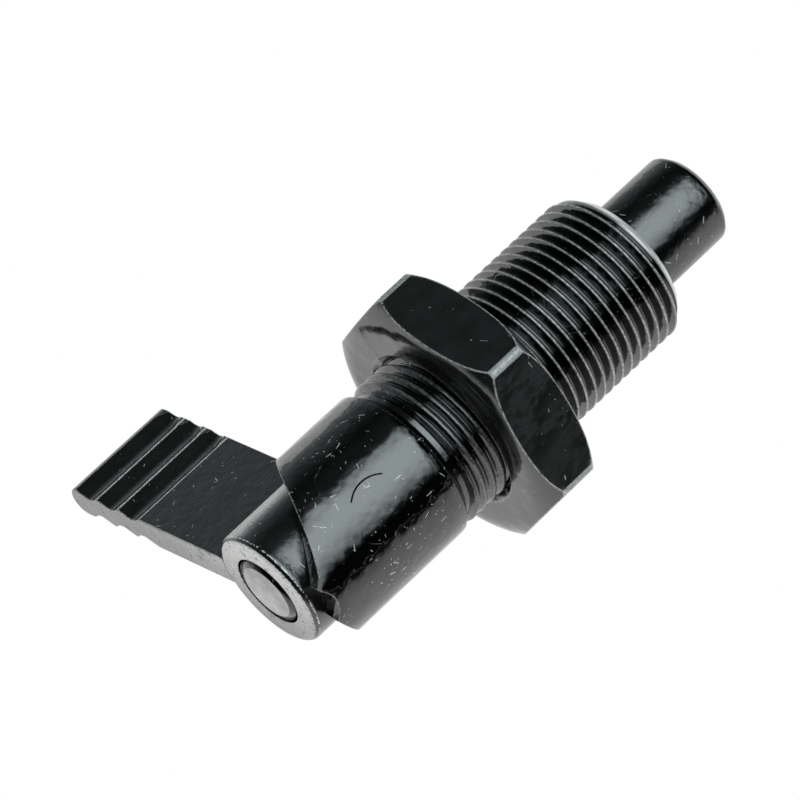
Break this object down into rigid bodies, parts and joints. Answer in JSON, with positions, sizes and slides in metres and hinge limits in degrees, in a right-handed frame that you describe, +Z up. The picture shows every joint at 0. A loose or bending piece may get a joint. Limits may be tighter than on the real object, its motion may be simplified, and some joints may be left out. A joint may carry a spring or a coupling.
{
  "type": "cam lever indexing plunger",
  "caption": "Black steel indexing plunger: a threaded body with a lock nut, and a grooved lever that climbs a helical cam to draw the round locating pin back against its spring.",
  "frame": {"origin": "centre of the body's front face, on the plunger's axis", "axes": "+X runs along the plunger's axis towards the tip of the pin, +Z is up; the plunger lies on one flat of its lock nut"},
  "size_m": [0.0705, 0.052, 0.03],
  "materials": {
    "body": "turned, glossy oiled black oxide with light scratches",
    "indexing_pin": "ground, glossy oiled black oxide",
    "return_spring": "oiled spring wire",
    "lever": "fine cast surface under oiled black oxide, worn grey at the edges",
    "cross_pin": "rolled spring strip, black",
    "lock_nut": "oiled black oxide, bright worn edges"
  },
  "bodies": {
    "body": {"body": "body"},
    "nut": {"lock_nut": "lock_nut"},
    "spring": {"return_spring": "return_spring"},
    "plunger": {"indexing_pin": "indexing_pin", "lever": "lever", "cross_pin": "cross_pin"}
  },
  "joints": [
    {"name": "lever_turn", "type": "hinge", "parent": "body", "child": "spring", "pos_m": [0, 0, 0], "axis": [1, 0, 0], "range_deg": [0, 155]},
    {"name": "pin_retract", "type": "slide", "parent": "spring", "child": "plunger", "axis": [-1, 0, 0], "range_m": [0, 0.0135], "stiffness_N_per_m": 2500, "springref_m": -0.008, "deforming": ["return_spring"]},
    {"name": "nut_turn", "type": "hinge", "parent": "body", "child": "nut", "pos_m": [-0.026, 0, 0], "axis": [1, 0, 0], "continuous": true}
  ],
  "couplings": [
    {"joint": "lever_turn", "follows": "pin_retract", "rad_per_m": 200.1}
  ]
}
